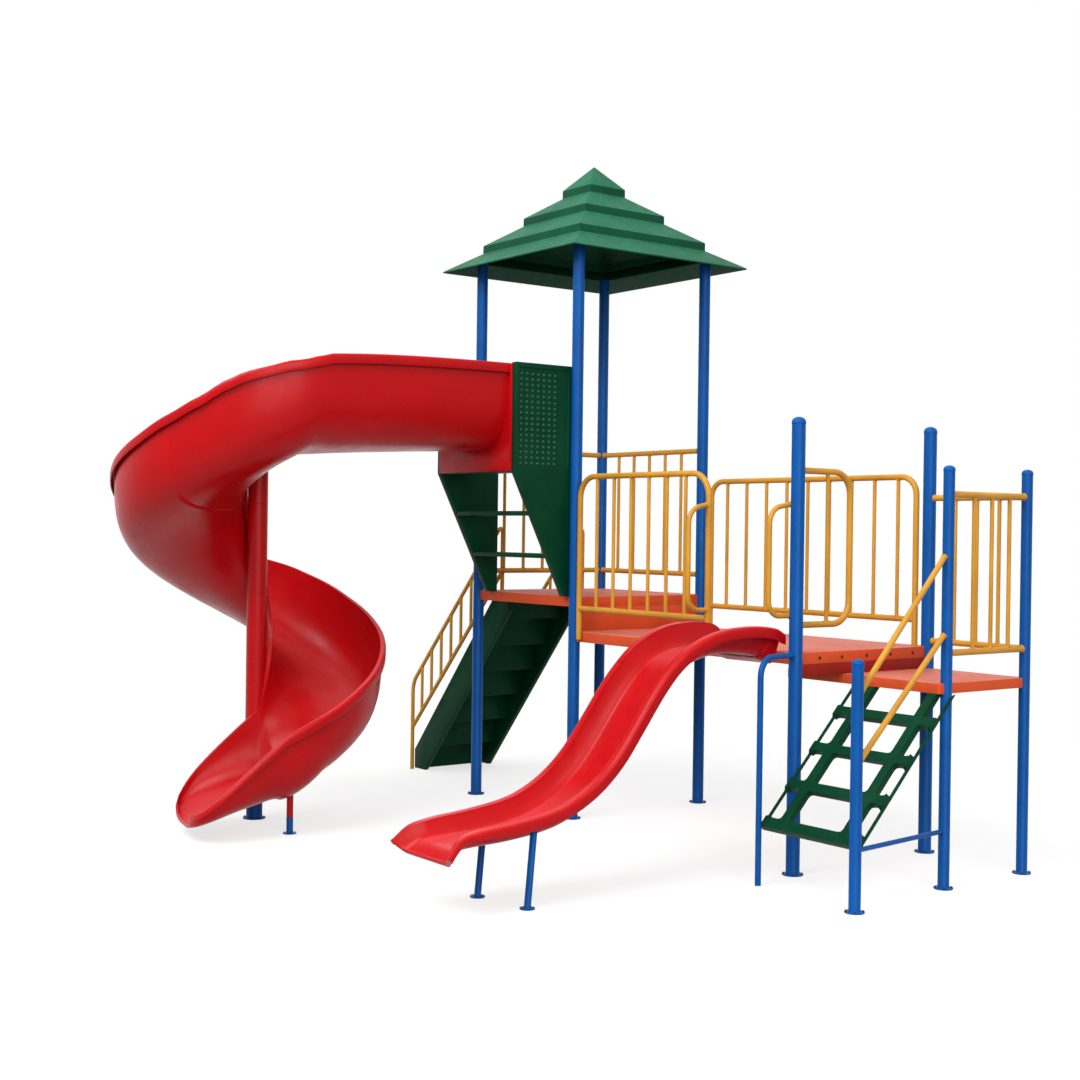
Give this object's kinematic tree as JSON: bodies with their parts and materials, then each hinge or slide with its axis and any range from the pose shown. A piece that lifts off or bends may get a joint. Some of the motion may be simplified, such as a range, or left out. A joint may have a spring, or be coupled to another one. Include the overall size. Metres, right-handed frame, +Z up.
{
  "type": "playground tower",
  "caption": "Outdoor play tower with a stepped square roof, joined decks, a spiral slide, a wave slide, a moulded ladder, a rear stair and tube guards",
  "frame": {"origin": "on the ground, at the centre of the base plate of the tower's front right post", "axes": "+Z is up, +X runs along the decks from the tower to the ladder, +Y runs from the slides to the rear"},
  "size_m": [4.2907, 3.2966, 3.6755],
  "materials": {
    "post_paint": "powder-coated steel tube, satin blue",
    "post_cap": "moulded cap, satin blue",
    "roof_frame": "powder-coated steel, dark green",
    "roof_plastic": "rotomoulded polyethylene, fine grain, green",
    "deck_coating": "rubbery plastisol coating over sheet steel, orange-red",
    "rail_paint": "powder-coated steel tube, golden yellow",
    "panel_plastic": "rotomoulded polyethylene, fine grain, dark green",
    "slide_plastic": "rotomoulded polyethylene, smooth, red"
  },
  "bodies": {
    "root": {"tower_post_front_left": "post_paint", "tower_post_front_right": "post_paint", "tower_post_rear_left": "post_paint", "tower_post_rear_right": "post_paint", "entry_post_front": "post_paint", "entry_post_front_cap": "post_cap", "entry_post_rear": "post_paint", "entry_post_rear_cap": "post_cap", "landing_post_front": "post_paint", "landing_post_front_cap": "post_cap", "landing_post_rear": "post_paint", "landing_post_rear_cap": "post_cap", "ladder_post": "post_paint", "ladder_post_cap": "post_cap", "roof_frame": "roof_frame", "roof_canopy": "roof_plastic", "upper_deck": "deck_coating", "middle_deck": "deck_coating", "lower_deck": "deck_coating", "upper_deck_riser": "deck_coating", "middle_deck_riser": "deck_coating", "left_guard": "rail_paint", "rear_guard": "rail_paint", "landing_rear_guard": "rail_paint", "landing_side_guard": "rail_paint", "front_guard": "rail_paint", "back_guard": "rail_paint", "side_guard": "rail_paint", "slide_handle_left": "rail_paint", "slide_handle_right": "rail_paint", "climb_panel_right": "panel_plastic", "climb_panel_left": "panel_plastic", "climb_step_low": "panel_plastic", "climb_step_middle": "panel_plastic", "climb_step_high": "panel_plastic", "spiral_entry_section": "slide_plastic", "spiral_middle_section": "slide_plastic", "spiral_exit_section": "slide_plastic", "spiral_column": "post_paint", "spiral_column_sleeve": "slide_plastic", "spiral_column_cap": "post_cap", "spiral_exit_leg": "slide_plastic", "spiral_exit_foot": "post_paint", "wave_slide": "slide_plastic", "wave_slide_leg_left": "post_paint", "wave_slide_leg_right": "post_paint", "stair_stringer_left": "panel_plastic", "stair_stringer_right": "panel_plastic", "stair_flight": "panel_plastic", "stair_handrail_left": "rail_paint", "stair_handrail_right": "rail_paint", "ladder_panel": "panel_plastic", "ladder_rail_upper": "rail_paint", "ladder_rail_lower": "rail_paint", "ladder_brace": "post_paint", "ladder_side_pipe": "post_paint"}
  },
  "joints": []
}
